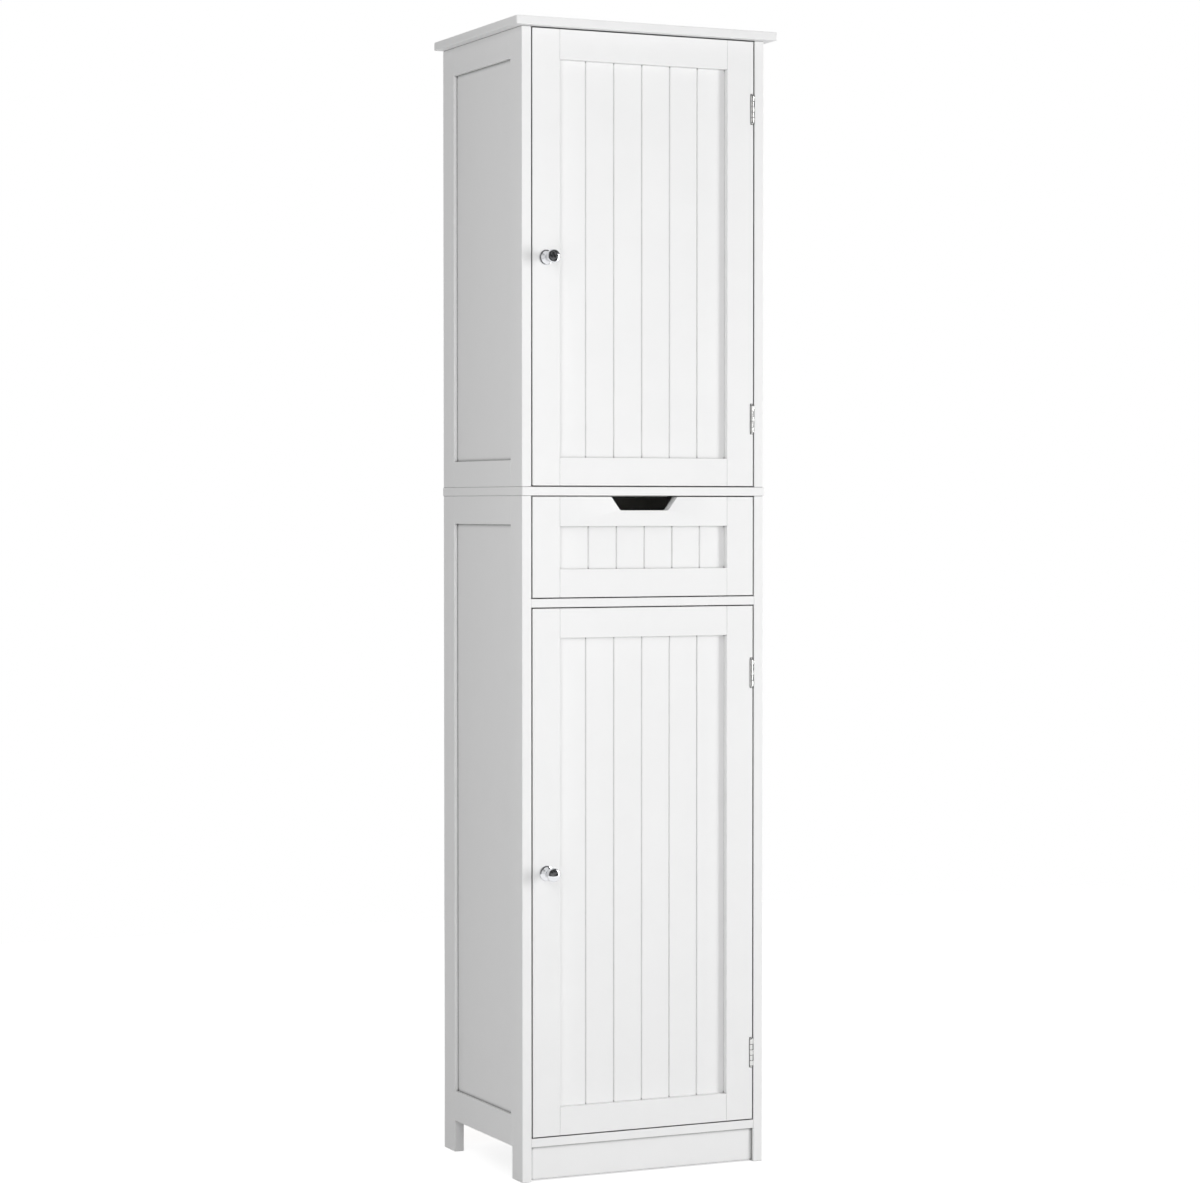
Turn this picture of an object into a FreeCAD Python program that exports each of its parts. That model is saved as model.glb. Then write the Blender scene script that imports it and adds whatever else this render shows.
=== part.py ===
"""Tall bathroom cabinet with two framed doors and a drawer between them.

Frame: X to the cabinet's right, front towards -Y, Z up, millimetres. The origin lies on
the floor, under the middle of the whole cabinet with its knobs.
"""
import FreeCAD, Part
import math
import os
import Sketcher

SIZES = [
    # the whole carcass
    ("body_width", 372), ("body_depth", 285),
    ("top_thickness", 12), ("top_side_overhang", 14), ("top_front_overhang", 15),
    ("base_height", 48), ("lower_opening", 733), ("drawer_opening", 142), ("upper_opening", 629),
    ("board_thickness", 12), ("middle_side_lip", 1), ("middle_front_lip", 3),
    ("edge_round", 0.7), ("top_edge_round", 1.5),
    # framed sides
    ("side_thickness", 14), ("side_stile_width", 40), ("side_top_rail_width", 40),
    ("upper_bottom_rail_width", 37), ("lower_bottom_rail_width", 43),
    ("leg_height", 45), ("front_leg_width", 35),
    ("side_panel_thickness", 5), ("side_panel_recess", 5),
    # every panel sits in a groove round its frame
    ("panel_tongue", 6), ("panel_play", 0.15),
    # plinth and back
    ("plinth_thickness", 12), ("plinth_setback", 5), ("plinth_floor_gap", 2),
    ("back_thickness", 3), ("back_rebate", 7),
    # doors and drawer front
    ("front_thickness", 15), ("front_side_gap", 2), ("front_end_gap", 1.5),
    ("front_stile_width", 41), ("front_top_rail_width", 41), ("front_bottom_rail_width", 39),
    ("front_panel_thickness", 4), ("front_panel_cover", 2),
    ("bead_count", 5), ("bead_width", 2.4), ("bead_depth", 1.5), ("drawer_bead_offset", 4),
    ("notch_top_width", 102), ("notch_bottom_width", 74), ("notch_depth", 19),
    ("notch_corner_radius", 3),
    # drawer box and its runners
    ("drawer_side_thickness", 12), ("drawer_side_height", 108), ("drawer_rear_gap", 9),
    ("drawer_side_gap", 6), ("drawer_floor_gap", 6), ("drawer_back_height", 86),
    ("drawer_bottom_thickness", 3), ("drawer_bottom_lift", 8), ("drawer_bottom_tongue", 5),
    ("runner_height", 10), ("runner_reach", 12), ("runner_lift", 55), ("runner_play", 0.3),
    ("runner_end_gap", 4), ("stop_gap", 2),
    # shelves and their pins
    ("shelf_thickness", 12), ("shelf_end_gap", 0.5), ("shelf_front_gap", 14),
    ("shelf_back_gap", 3),
    ("upper_shelf_height", 300), ("lower_shelf_height", 352),
    ("shelf_pin_radius", 2.5), ("shelf_pin_length", 16), ("shelf_pin_sunk", 8),
    ("shelf_pin_inset", 26), ("shelf_pin_play", 0.1),
    ("shelf_hole_pitch", 32), ("shelf_hole_count", 5), ("shelf_holes_below", 2),
    # butt hinges
    ("hinge_end_distance", 95), ("hinge_leaf_height", 38), ("hinge_leaf_reach", 14.5),
    ("hinge_leaf_thickness", 0.8), ("hinge_barrel_radius", 2.3), ("hinge_pin_radius", 1.4),
    ("hinge_pin_play", 0.05), ("hinge_knuckle_gap", 0.3), ("hinge_axis_inset", 1.9),
    ("hinge_axis_lead", 0.3), ("hinge_plate_gap", 0.2), ("hinge_mortise_play", 0.4),
    ("hinge_tip_height", 2.3), ("hinge_knuckle_count", 5),
    ("hinge_neck_reach", 5), ("hinge_screw_setback", 8.7),
    ("hinge_screw_spacing", 22), ("hinge_screw_radius", 1.3), ("hinge_screw_length", 11),
    ("hinge_screw_head_radius", 2.4), ("hinge_screw_head_height", 1.4), ("screw_play", 0.1),
    # knobs
    ("knob_inset", 20.5), ("knob_projection", 28), ("knob_base_radius", 10.5),
    ("knob_base_rim", 1.8), ("knob_base_thickness", 3.6), ("knob_neck_radius", 4.2),
    ("knob_neck_end", 11), ("knob_head_radius", 9.5), ("knob_rim_start", 21),
    ("knob_rim_end", 26.3), ("knob_edge_round", 0.5),
    ("knob_screw_radius", 2), ("knob_screw_grip", 9), ("knob_screw_head_radius", 4),
    ("knob_screw_head_height", 2.4),
    # magnetic catches
    ("catch_width", 14), ("catch_depth", 24), ("catch_height", 42), ("catch_offset", 130),
    ("catch_gap", 0.3), ("strike_width", 16), ("strike_height", 36), ("strike_thickness", 1),
    # wooden dowels that hold the boards to the sides
    ("dowel_radius", 3), ("dowel_length", 30), ("dowel_in_top", 8), ("dowel_in_side", 9),
    ("dowel_inset", 18), ("dowel_play", 0.1),
]

doc = FreeCAD.newDocument("TallBathroomCabinet")
sheet = doc.addObject("Spreadsheet::Sheet", "Sizes")
for row, (alias, number) in enumerate(SIZES, start=1):
    sheet.set(f"A{row}", alias)
    sheet.set(f"B{row}", str(number))
    sheet.setAlias(f"B{row}", alias)
doc.recompute()


class Size:
    """A length that knows its value now and the sheet formula that gives it."""

    def __init__(self, value, formula):
        self.value = value
        self.formula = formula

    def __add__(self, other):
        other = size(other)
        return Size(self.value + other.value, f"({self.formula} + {other.formula})")

    def __sub__(self, other):
        other = size(other)
        return Size(self.value - other.value, f"({self.formula} - {other.formula})")

    def __mul__(self, other):
        other = size(other)
        return Size(self.value * other.value, f"({self.formula} * {other.formula})")

    def __truediv__(self, other):
        other = size(other)
        return Size(self.value / other.value, f"({self.formula} / {other.formula})")

    def __neg__(self):
        return Size(-self.value, f"(0 - {self.formula})")

    def root(self):
        return Size(math.sqrt(self.value), f"sqrt({self.formula})")


def size(number):
    """A plain number as a Size; a Size stays as it is."""
    return number if isinstance(number, Size) else Size(float(number), f"({float(number)})")


driving = {alias: Size(float(number), f"Sizes.{alias}") for alias, number in SIZES}
zero = size(0)


def named(*aliases):
    """The sizes behind several sheet names."""
    return [driving[alias] for alias in aliases]


def bind(thing, prop, length):
    """Ties a property to a size's formula."""
    thing.setExpression(prop, size(length).formula)


X, Y, Z = (FreeCAD.Vector(1, 0, 0), FreeCAD.Vector(0, 1, 0), FreeCAD.Vector(0, 0, 1))
ALONG = {
    "X": FreeCAD.Rotation(Z, X), "-X": FreeCAD.Rotation(Z, -X),
    "Y": FreeCAD.Rotation(Z, Y), "-Y": FreeCAD.Rotation(Z, -Y),
    "Z": FreeCAD.Rotation(), "-Z": FreeCAD.Rotation(X, 180),
}


def put(thing, at, rotation=None):
    """Places a thing at a point whose coordinates are sizes."""
    if rotation:
        thing.Placement = FreeCAD.Placement(FreeCAD.Vector(), rotation)
    for axis, length in zip("xyz", at):
        bind(thing, f"Placement.Base.{axis}", length)


class Piece:
    """One body of the cabinet, built up and cut in the cabinet's own frame."""

    def __init__(self, label, origin):
        self.body = doc.addObject("PartDesign::Body", label)
        self.body.Label = label
        self.origin = origin
        put(self.body, origin)

    def local(self, at):
        """A point measured from the body's own origin."""
        return [place - start for place, start in zip(at, self.origin)]

    def datum(self, role):
        """One of the body's own planes or axes."""
        return [datum for datum in self.body.Origin.OriginFeatures if datum.Role == role][0]

    def sketch(self, role, points, arcs=None):
        """A closed outline on one of the body's planes."""
        sketch = self.body.newObject("Sketcher::SketchObject", "outline")
        sketch.AttachmentSupport = (self.datum(role), [""])
        sketch.MapMode = "FlatFace"
        draw_outline(sketch, points, arcs or {})
        return sketch

    def feature(self, kind, name, **lengths):
        """Adds a feature whose lengths are tied to sizes."""
        made = self.body.newObject(f"PartDesign::{kind}", name)
        for prop, length in lengths.items():
            bind(made, prop, length)
        return made

    def repeat(self, feature, role, count, pitch):
        """Repeats a feature in a row along one of the body's axes."""
        row = self.feature("LinearPattern", "row", Length=pitch * (count - 1),
                           Occurrences=count)
        row.Originals = [feature]
        row.Direction = (self.datum(role), [""])
        self.body.Tip = row

    def box(self, kind, x, y, z):
        """Adds or cuts a box between two corners, given as ranges."""
        low = [x[0], y[0], z[0]]
        made = self.feature(f"{kind}Box", "block", Length=x[1] - x[0], Width=y[1] - y[0],
                            Height=z[1] - z[0])
        put(made, self.local(low))
        return made

    def cylinder(self, kind, at, along, radius, length):
        """Adds or cuts a round bar that starts at a point and runs along an axis."""
        made = self.feature(f"{kind}Cylinder", "bar", Radius=radius, Height=length)
        put(made, self.local(at), ALONG[along])
        return made

    def cone(self, kind, at, along, start_radius, end_radius, length):
        """Adds or cuts a taper that starts at a point and runs along an axis."""
        made = self.feature(f"{kind}Cone", "taper", Radius1=start_radius, Radius2=end_radius,
                            Height=length)
        put(made, self.local(at), ALONG[along])
        return made

    def ease(self, radius):
        """Rounds every edge of what is built so far."""
        solid = self.body.Tip
        made = self.feature("Fillet", "eased_edges", Radius=radius)
        made.Base = (solid, [""])
        made.UseAllEdges = True
        return made


def arc_middle(start, end, radius, side):
    """The middle of the shorter arc between two points, on side -1 or 1 of its chord."""
    chord = end - start
    half = chord.Length / 2
    sagitta = radius - math.sqrt(radius * radius - half * half)
    outward = FreeCAD.Vector(chord.y, -chord.x, 0).normalize()
    return (start + end) / 2 + outward * (side * sagitta)


def draw_outline(sketch, points, arcs):
    """Draws a closed outline through points, each held by its distances from the origin.

    The stretch after a point is straight, or an arc of a radius and side given in arcs.
    """
    corners = [FreeCAD.Vector(across.value, along.value, 0) for across, along in points]
    ends = []
    for index, corner in enumerate(corners):
        following = corners[(index + 1) % len(corners)]
        if index in arcs:
            radius, side = arcs[index]
            middle = arc_middle(corner, following, radius.value, side)
            sketch.addGeometry(Part.Arc(corner, middle, following), False)
            number = sketch.addConstraint(Sketcher.Constraint("Radius", index, radius.value))
            sketch.setExpression(f"Constraints[{number}]", radius.formula)
        else:
            sketch.addGeometry(Part.LineSegment(corner, following), False)
        forward = sketch.getPoint(index, 1).isEqual(corner, 1e-6)
        ends.append((1, 2) if forward else (2, 1))
    for index, (across, along) in enumerate(points):
        following = (index + 1) % len(points)
        sketch.addConstraint(Sketcher.Constraint(
            "Coincident", index, ends[index][1], following, ends[following][0]))
        hold(sketch, "DistanceX", index, ends[index][0], across)
        hold(sketch, "DistanceY", index, ends[index][0], along)


def hold(sketch, kind, geometry, end, length):
    """Keeps one end of a line or arc at a distance from the sketch's origin."""
    if abs(length.value) < 1e-9:
        axis = -2 if kind == "DistanceX" else -1
        sketch.addConstraint(Sketcher.Constraint("PointOnObject", geometry, end, axis))
        return
    number = sketch.addConstraint(
        Sketcher.Constraint(kind, -1, 1, geometry, end, length.value))
    sketch.setExpression(f"Constraints[{number}]", length.formula)


def board(label, x, y, z, eased=driving["edge_round"]):
    """A flat board between two corners, with its edges eased."""
    piece = Piece(label, [x[0], y[0], z[0]])
    wide, deep = x[1] - x[0], y[1] - y[0]
    outline = piece.sketch("XY_Plane", [(zero, zero), (wide, zero), (wide, deep), (zero, deep)])
    pad = piece.feature("Pad", "pad", Length=z[1] - z[0])
    pad.Profile = outline
    piece.ease(eased)
    return piece


def group(label, members):
    """Separate solids that share one node."""
    made = doc.addObject("Part::Compound", label)
    made.Label = label
    made.Links = [member.body if isinstance(member, Piece) else member for member in members]
    return made


def mirrored(side, near, far):
    """The X range between two distances from the middle, on side -1 (left) or 1 (right)."""
    return (-far, -near) if side < 0 else (near, far)


# ---- lines that the whole cabinet shares ----

(body_width, body_depth, top_thickness, base_height, lower_opening, drawer_opening,
 upper_opening, board_thickness) = named(
    "body_width", "body_depth", "top_thickness", "base_height", "lower_opening",
    "drawer_opening", "upper_opening", "board_thickness")
(side_thickness, side_stile, back_thickness, front_thickness, side_gap, end_gap) = named(
    "side_thickness", "side_stile_width", "back_thickness", "front_thickness",
    "front_side_gap", "front_end_gap")

half_body = body_width / 2
inner = half_body - side_thickness
front = (driving["knob_projection"] - body_depth) / 2
back = front + body_depth
inner_back = back - back_thickness
front_back_face = front + front_thickness

bottom_low = base_height
lower_low = bottom_low + board_thickness
divider_low = lower_low + lower_opening
drawer_low = divider_low + board_thickness
middle_low = drawer_low + drawer_opening
upper_low = middle_low + board_thickness
upper_high = upper_low + upper_opening
total_height = upper_high + top_thickness

nodes = []


def keep(*things):
    """Marks things as the cabinet's own sub-parts."""
    for thing in things:
        nodes.append(thing.body if isinstance(thing, Piece) else thing)


# ---- dowels: the same holes are cut in both boards that a dowel joins ----

dowel_radius, dowel_length, dowel_play = named("dowel_radius", "dowel_length", "dowel_play")
dowels = []


def dowel(start, along, *boards):
    """A dowel from a point along an axis, and its hole in each board that it enters."""
    made = doc.addObject("Part::Cylinder", "dowel")
    bind(made, "Radius", dowel_radius)
    bind(made, "Height", dowel_length)
    put(made, start, ALONG[along])
    dowels.append(made)
    for joined in boards:
        joined.cylinder("Subtractive", start, along, dowel_radius + dowel_play, dowel_length)


# ---- framed sides ----

panel_tongue, panel_play = named("panel_tongue", "panel_play")


def groove_range(low, high):
    """A panel's range widened by its play."""
    return (low - panel_play, high + panel_play)


def side_frame(name, side, low, high, bottom_rail_low, bottom_rail_width, foot=None):
    """Two stiles, two rails and the thin panel in their grooves, for one side of a case."""
    thick = mirrored(side, inner, half_body)
    panel_far = half_body - driving["side_panel_recess"]
    panel_x = mirrored(side, panel_far - driving["side_panel_thickness"], panel_far)
    groove_x = groove_range(*panel_x)
    front_edge, rear_edge = front + side_stile, back - side_stile
    top_rail = (high - driving["side_top_rail_width"], high)
    bottom_rail = (bottom_rail_low, bottom_rail_low + bottom_rail_width)
    reach = panel_tongue + panel_play
    groove_z = (bottom_rail[1] - reach, top_rail[0] + reach)

    front_stile = board(f"{name}_front_stile", thick, (front, front_edge), (low, high))
    front_stile.box("Subtractive", groove_x, (front_edge - reach, front_edge), groove_z)
    rear_stile = board(f"{name}_rear_stile", thick, (rear_edge, back), (low, high))
    rear_stile.box("Subtractive", groove_x, (rear_edge, rear_edge + reach), groove_z)
    rebate_x = mirrored(side, inner, inner + driving["back_rebate"])
    rebate_low = low if foot is None else bottom_low
    rear_stile.box("Subtractive", rebate_x, (inner_back, back), (rebate_low, high))
    if foot is not None:
        leg_y = (front + driving["front_leg_width"], front_edge)
        front_stile.box("Subtractive", thick, leg_y, (low, foot))

    rails_y = (front_edge, rear_edge)
    upper = board(f"{name}_top_rail", thick, rails_y, top_rail)
    upper.box("Subtractive", groove_x, rails_y, (top_rail[0], top_rail[0] + reach))
    lower = board(f"{name}_bottom_rail", thick, rails_y, bottom_rail)
    lower.box("Subtractive", groove_x, rails_y, (bottom_rail[1] - reach, bottom_rail[1]))
    rails = group(f"{name}_rails", [upper, lower])

    panel_y = (front_edge - panel_tongue, rear_edge + panel_tongue)
    panel_z = (bottom_rail[1] - panel_tongue, top_rail[0] + panel_tongue)
    panel = Piece(f"{name}_side_panel", [panel_x[0], panel_y[0], panel_z[0]])
    panel.box("Additive", panel_x, panel_y, panel_z)
    keep(front_stile, rear_stile, rails, panel)
    return front_stile, rear_stile


SIDES = {"left": -1, "right": 1}
upper_stiles = {}
lower_stiles = {}
for side_name, side in SIDES.items():
    upper_stiles[side_name] = side_frame(
        f"upper_{side_name}", side, upper_low, upper_high, upper_low,
        driving["upper_bottom_rail_width"])
    lower_stiles[side_name] = side_frame(
        f"lower_{side_name}", side, zero, middle_low, driving["leg_height"],
        driving["lower_bottom_rail_width"], foot=driving["leg_height"])

# ---- boards across the cabinet ----

half_top = half_body + driving["top_side_overhang"]
top_front = front - driving["top_front_overhang"]
top_board = board("top_board", (-half_top, half_top), (top_front, back),
                  (upper_high, total_height), driving["top_edge_round"])
half_middle = half_body + driving["middle_side_lip"]
middle_board = board("middle_board", (-half_middle, half_middle),
                     (front - driving["middle_front_lip"], back), (middle_low, upper_low))
divider_board = board("divider_board", (-inner, inner), (front, inner_back),
                      (divider_low, drawer_low))
bottom_board = board("bottom_board", (-inner, inner), (front, inner_back),
                     (bottom_low, lower_low))
plinth_front = front + driving["plinth_setback"]
plinth_board = board("plinth_board", (-inner, inner),
                     (plinth_front, plinth_front + driving["plinth_thickness"]),
                     (driving["plinth_floor_gap"], bottom_low))
keep(top_board, middle_board, divider_board, bottom_board, plinth_board)

back_half = inner + driving["back_rebate"] - panel_play
for label, low, high in (("upper_back_panel", upper_low, upper_high),
                         ("lower_back_panel", bottom_low, middle_low)):
    sheet_z = (low + panel_play, high - panel_play)
    back_panel = Piece(label, [-back_half, inner_back, sheet_z[0]])
    back_panel.box("Additive", (-back_half, back_half), (inner_back, back), sheet_z)
    keep(back_panel)

dowel_inset = driving["dowel_inset"]
for side_name, side in SIDES.items():
    stile_middle = mirrored(side, half_body - side_thickness / 2, half_body)[side < 0]
    for index, line in enumerate((front + dowel_inset, back - dowel_inset)):
        upper_stile = upper_stiles[side_name][index]
        lower_stile = lower_stiles[side_name][index]
        top_start = [stile_middle, line, upper_high + driving["dowel_in_top"] - dowel_length]
        dowel(top_start, "Z", top_board, upper_stile)
        middle_start = [stile_middle, line,
                        middle_low + board_thickness / 2 - dowel_length / 2]
        dowel(middle_start, "Z", middle_board, upper_stile, lower_stile)
        for joined, low in ((divider_board, divider_low), (bottom_board, bottom_low)):
            start_x = mirrored(side, inner + driving["dowel_in_side"], half_body)[side < 0]
            start = [start_x, line, low + board_thickness / 2]
            dowel(start, "X" if side < 0 else "-X", joined, lower_stile)
keep(group("assembly_dowels", dowels))

# ---- shelves, each on four pins, with rows of spare holes ----

(shelf_thickness, shelf_gap, pin_radius, pin_length, pin_sunk, hole_pitch) = named(
    "shelf_thickness", "shelf_end_gap", "shelf_pin_radius", "shelf_pin_length",
    "shelf_pin_sunk", "shelf_hole_pitch")
hole_count = driving["shelf_hole_count"]
shelf_y = (front_back_face + driving["shelf_front_gap"],
           inner_back - driving["shelf_back_gap"])
pins = []
for level_name, floor, height, stiles in (
        ("upper", upper_low, driving["upper_shelf_height"], upper_stiles),
        ("lower", lower_low, driving["lower_shelf_height"], lower_stiles)):
    shelf_low = floor + height
    shelf = board(f"{level_name}_shelf", (shelf_gap - inner, inner - shelf_gap), shelf_y,
                  (shelf_low, shelf_low + shelf_thickness))
    keep(shelf)
    for side_name, side in SIDES.items():
        for index, line in enumerate((front + driving["shelf_pin_inset"],
                                      back - driving["shelf_pin_inset"])):
            start_x = mirrored(side, inner + pin_sunk, half_body)[side < 0]
            along = "X" if side < 0 else "-X"
            start = [start_x, line, shelf_low - pin_radius]
            pin = doc.addObject("Part::Cylinder", "shelf_pin")
            bind(pin, "Radius", pin_radius)
            bind(pin, "Height", pin_length)
            put(pin, start, ALONG[along])
            pins.append(pin)
            stile = stiles[side_name][index]
            lowest = shelf_low - pin_radius - hole_pitch * driving["shelf_holes_below"]
            hole = stile.cylinder("Subtractive", [start_x, line, lowest], along,
                                  pin_radius + driving["shelf_pin_play"], pin_length)
            stile.repeat(hole, "Z_Axis", hole_count, hole_pitch)
keep(group("shelf_pins", pins))

# ---- doors and drawer front: stiles, rails and a beaded panel ----

(front_stile_width, front_top_rail, front_bottom_rail, panel_thickness,
 panel_cover) = named("front_stile_width", "front_top_rail_width",
                      "front_bottom_rail_width", "front_panel_thickness",
                      "front_panel_cover")
half_front = inner - side_gap
front_y = (front, front_back_face)
panel_back = front_back_face - panel_cover
panel_y = (panel_back - panel_thickness, panel_back)


def beaded_panel(label, x, z, bead_offset):
    """A thin panel like a row of boards of one width, with upright V grooves between them."""
    panel = Piece(label, [x[0], panel_y[0], z[0]])
    panel.box("Additive", x, panel_y, z)
    count, width, depth = named("bead_count", "bead_width", "bead_depth")
    shown_half = half_front - front_stile_width
    pitch = shown_half * 2 / (count + 1)
    first = bead_offset - pitch * (count - 1) / 2
    left, middle, right = first - width / 2 - x[0], first - x[0], first + width / 2 - x[0]
    bead = panel.feature("Pocket", "bead", Length=z[1] - z[0])
    bead.Profile = panel.sketch("XY_Plane", [(left, zero), (right, zero), (middle, depth)])
    bead.Reversed = True
    panel.repeat(bead, "X_Axis", count, pitch)
    return panel


def framed_front(name, low, high, bead_offset=zero):
    """The five pieces of a door or drawer front between two levels."""
    reach = panel_tongue + panel_play
    groove_y = groove_range(*panel_y)
    opening_half = half_front - front_stile_width
    opening_z = (low + front_bottom_rail, high - front_top_rail)
    groove_z = (opening_z[0] - reach, opening_z[1] + reach)
    stiles = []
    for side in SIDES.values():
        x = mirrored(side, opening_half, half_front)
        end = "left" if side < 0 else "right"
        stile = board(f"{name}_{end}_stile", x, front_y, (low, high))
        groove_x = mirrored(side, opening_half, opening_half + reach)
        stile.box("Subtractive", groove_x, groove_y, groove_z)
        stiles.append(stile)
    rails_x = (-opening_half, opening_half)
    top_rail = board(f"{name}_top_rail", rails_x, front_y, (opening_z[1], high))
    top_rail.box("Subtractive", rails_x, groove_y, (opening_z[1], groove_z[1]))
    bottom_rail = board(f"{name}_bottom_rail", rails_x, front_y, (low, opening_z[0]))
    bottom_rail.box("Subtractive", rails_x, groove_y, (groove_z[0], opening_z[0]))
    panel = beaded_panel(f"{name}_panel",
                         (-opening_half - panel_tongue, opening_half + panel_tongue),
                         (opening_z[0] - panel_tongue, opening_z[1] + panel_tongue),
                         bead_offset)
    keep(top_rail, bottom_rail, panel)
    return stiles, top_rail


# ---- knobs: a turned base, neck and domed head, held by a screw through the stile ----

(knob_projection, knob_base_radius, knob_base_rim, knob_base_thickness, knob_neck_radius,
 knob_neck_end, knob_head_radius, rim_start, rim_end) = named(
    "knob_projection", "knob_base_radius", "knob_base_rim", "knob_base_thickness",
    "knob_neck_radius", "knob_neck_end", "knob_head_radius", "knob_rim_start",
    "knob_rim_end")
(knob_screw_radius, knob_screw_grip, screw_play) = named(
    "knob_screw_radius", "knob_screw_grip", "screw_play")


def round_radius(rise, reach):
    """The radius of an arc that leaves its axis square and meets it again at a distance."""
    return (rise * rise + reach * reach) / (rise * 2)


def knob_with_screw(name, stile, height):
    """A knob on a stile, its screw, and the screw's hole."""
    axis_x = driving["knob_inset"] - half_front
    knob = Piece(f"{name}_knob", [axis_x, front, height])
    outline = [
        (zero, zero), (knob_base_radius, zero), (knob_base_radius, -knob_base_rim),
        (knob_neck_radius, -knob_base_thickness), (knob_neck_radius, -knob_neck_end),
        (knob_head_radius, -rim_start), (knob_head_radius, -rim_end),
        (zero, -knob_projection)]
    flare = round_radius(knob_head_radius - knob_neck_radius, rim_start - knob_neck_end)
    dome = round_radius(knob_projection - rim_end, knob_head_radius)
    turned = knob.feature("Revolution", "turned")
    turned.Profile = knob.sketch("XY_Plane", outline, {4: (flare, -1), 6: (dome, -1)})
    turned.ReferenceAxis = (turned.Profile[0], ["V_Axis"])
    turned.Angle = 360
    knob.ease(driving["knob_edge_round"])
    start = [axis_x, front, height]
    knob.cylinder("Subtractive", start, "-Y", knob_screw_radius + screw_play, knob_screw_grip)
    stile.cylinder("Subtractive", start, "Y", knob_screw_radius + screw_play, front_thickness)
    head_height = driving["knob_screw_head_height"]
    screw = Piece(f"{name}_knob_screw", [axis_x, front_back_face, height])
    screw.cylinder("Additive", [axis_x, front_back_face, height], "Y",
                   driving["knob_screw_head_radius"], head_height)
    screw.cylinder("Additive", [axis_x, front_back_face, height], "-Y", knob_screw_radius,
                   front_thickness + knob_screw_grip - screw_play * 2)
    keep(knob, screw)


# ---- butt hinges in the right-hand gap, with the barrel half sunk in the door's edge ----

(leaf_height, leaf_reach, leaf_thickness, neck_reach, barrel_radius, hinge_pin_radius,
 pin_play, knuckle_gap, tip_height, knuckle_count) = named(
    "hinge_leaf_height", "hinge_leaf_reach", "hinge_leaf_thickness", "hinge_neck_reach",
    "hinge_barrel_radius", "hinge_pin_radius", "hinge_pin_play", "hinge_knuckle_gap",
    "hinge_tip_height", "hinge_knuckle_count")
(screw_radius, screw_length, screw_head_radius, screw_head_height, screw_spacing) = named(
    "hinge_screw_radius", "hinge_screw_length", "hinge_screw_head_radius",
    "hinge_screw_head_height", "hinge_screw_spacing")
hinge_x = half_front - driving["hinge_axis_inset"]
hinge_y = front - driving["hinge_axis_lead"]
knuckle_pitch = leaf_height / knuckle_count
frame_knuckles = range(0, int(knuckle_count.value), 2)
door_knuckles = range(1, int(knuckle_count.value), 2)
leaf_front = hinge_y + barrel_radius + driving["hinge_plate_gap"]
mortise_play = driving["hinge_mortise_play"]


def hinge_leaf(label, leaf_x, middle, own_knuckles):
    """One leaf: its plate in the gap and its share of the knuckles round the pin."""
    low = middle - leaf_height / 2
    leaf = Piece(label, [leaf_x[0], leaf_front, low])
    leaf.box("Additive", leaf_x, (leaf_front, front + leaf_reach), (low, low + leaf_height))
    for index in own_knuckles:
        start = low + knuckle_pitch * index + knuckle_gap / 2
        length = knuckle_pitch - knuckle_gap
        knuckle_z = (start, start + length)
        leaf.cylinder("Additive", [hinge_x, hinge_y, start], "Z", barrel_radius, length)
        neck_y = (hinge_y - leaf_thickness / 2, hinge_y + leaf_thickness / 2)
        leaf.box("Additive", (hinge_x, leaf_x[1]), neck_y, knuckle_z)
        leaf.box("Additive", leaf_x, (neck_y[0], front + neck_reach), knuckle_z)
    leaf.cylinder("Subtractive", [hinge_x, hinge_y, low - knuckle_gap], "Z",
                  hinge_pin_radius + pin_play, leaf_height + knuckle_gap * 2)
    return leaf


def countersunk_screw(at, along, *holed):
    """A screw whose flat head starts at a point, and its hole in each piece it holds."""
    head = doc.addObject("Part::Cone", "screw_head")
    bind(head, "Radius1", screw_head_radius)
    bind(head, "Radius2", screw_radius)
    bind(head, "Height", screw_head_height)
    put(head, at, ALONG[along])
    shank = doc.addObject("Part::Cylinder", "screw_shank")
    bind(shank, "Radius", screw_radius)
    bind(shank, "Height", screw_length)
    put(shank, at, ALONG[along])
    screw = doc.addObject("Part::Fuse", "screw")
    screw.Base = head
    screw.Tool = shank
    for piece in holed:
        piece.cone("Subtractive", at, along, screw_head_radius + screw_play,
                   screw_radius + screw_play, screw_head_height)
        piece.cylinder("Subtractive", at, along, screw_radius + screw_play,
                       screw_length + screw_play)
    return screw


def hinge_pin(middle):
    """A pin through the knuckles, with a rounded tip over each end of the barrel."""
    low = middle - leaf_height / 2
    shaft = doc.addObject("Part::Cylinder", "hinge_shaft")
    bind(shaft, "Radius", hinge_pin_radius)
    bind(shaft, "Height", leaf_height)
    put(shaft, [hinge_x, hinge_y, low])
    tips = []
    for along, level in (("Z", low + leaf_height), ("-Z", low)):
        tip = doc.addObject("Part::Ellipsoid", "hinge_tip")
        tip.Angle1 = 0
        bind(tip, "Radius1", tip_height)
        bind(tip, "Radius2", barrel_radius - pin_play)
        bind(tip, "Radius3", barrel_radius - pin_play)
        put(tip, [hinge_x, hinge_y, level], ALONG[along])
        tips.append(tip)
    pin = doc.addObject("Part::MultiFuse", "hinge_pin")
    pin.Shapes = [shaft] + tips
    return pin


def barrel_mortise(door_stile, middle):
    """The notch in a door's edge that the barrel and its pin's tips turn in."""
    half = leaf_height / 2 + tip_height + mortise_play
    door_stile.box("Subtractive", (hinge_x - barrel_radius - mortise_play, half_front),
                   (front, hinge_y + barrel_radius + mortise_play), (middle - half, middle + half))


frame_leaves, frame_screws, hinge_pins = [], [], []
door_leaf_x = (half_front, half_front + leaf_thickness)
frame_leaf_x = (inner - leaf_thickness, inner)


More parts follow.
